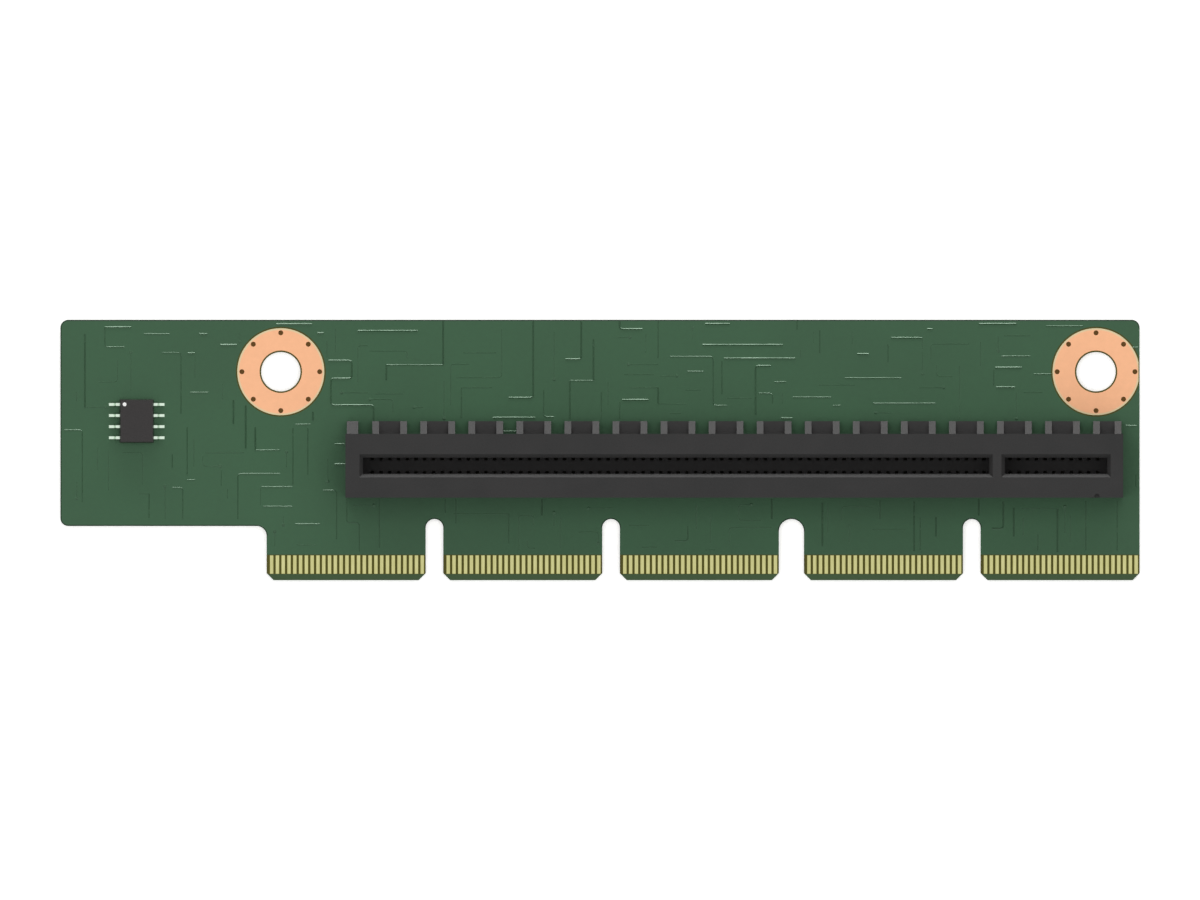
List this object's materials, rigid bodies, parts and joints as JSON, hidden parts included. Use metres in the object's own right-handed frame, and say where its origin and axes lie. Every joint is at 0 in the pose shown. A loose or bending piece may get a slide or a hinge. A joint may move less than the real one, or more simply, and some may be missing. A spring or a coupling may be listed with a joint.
{
  "type": "pcie riser card",
  "caption": "Flat circuit board with a row of edge tabs, two screw lands, a long card slot standing on its face and a small leaded chip.",
  "frame": {"origin": "middle of the board's outline on its back face, which the card lies on", "axes": "+X along the board, from the wing towards the other end; +Y away from the edge tabs; +Z out of the face that carries the card slot"},
  "size_m": [0.1234, 0.0298, 0.0128],
  "materials": {
    "solder_masked_laminate": "green solder mask over glass-epoxy laminate, satin",
    "moulded_housing": "black glass-filled polymer, moulded, fine matt grain",
    "spring_contact_alloy": "stamped spring alloy, dull plating",
    "moulded_chip_epoxy": "black epoxy, moulded, matt",
    "tinned_copper": "bright tin plate",
    "bare_copper": "smooth foil, satin",
    "gold_plating": "thin gold over nickel, smooth"
  },
  "bodies": {
    "root": {"circuit_board": "solder_masked_laminate", "slot_housing": "moulded_housing", "slot_contacts_long_upper": "spring_contact_alloy", "slot_contacts_long_lower": "spring_contact_alloy", "slot_contacts_short_upper": "spring_contact_alloy", "slot_contacts_short_lower": "spring_contact_alloy", "sensor_body": "moulded_chip_epoxy", "sensor_leads": "tinned_copper", "sensor_lands": "tinned_copper", "mount_pad_left_front": "bare_copper", "mount_pad_right_front": "bare_copper", "mount_pad_left_back": "bare_copper", "mount_pad_right_back": "bare_copper", "edge_contacts_front_1": "gold_plating", "edge_contacts_front_2": "gold_plating", "edge_contacts_front_3": "gold_plating", "edge_contacts_front_4": "gold_plating", "edge_contacts_front_5": "gold_plating", "edge_contacts_back_1": "gold_plating", "edge_contacts_back_2": "gold_plating", "edge_contacts_back_3": "gold_plating", "edge_contacts_back_4": "gold_plating", "edge_contacts_back_5": "gold_plating"}
  },
  "joints": []
}
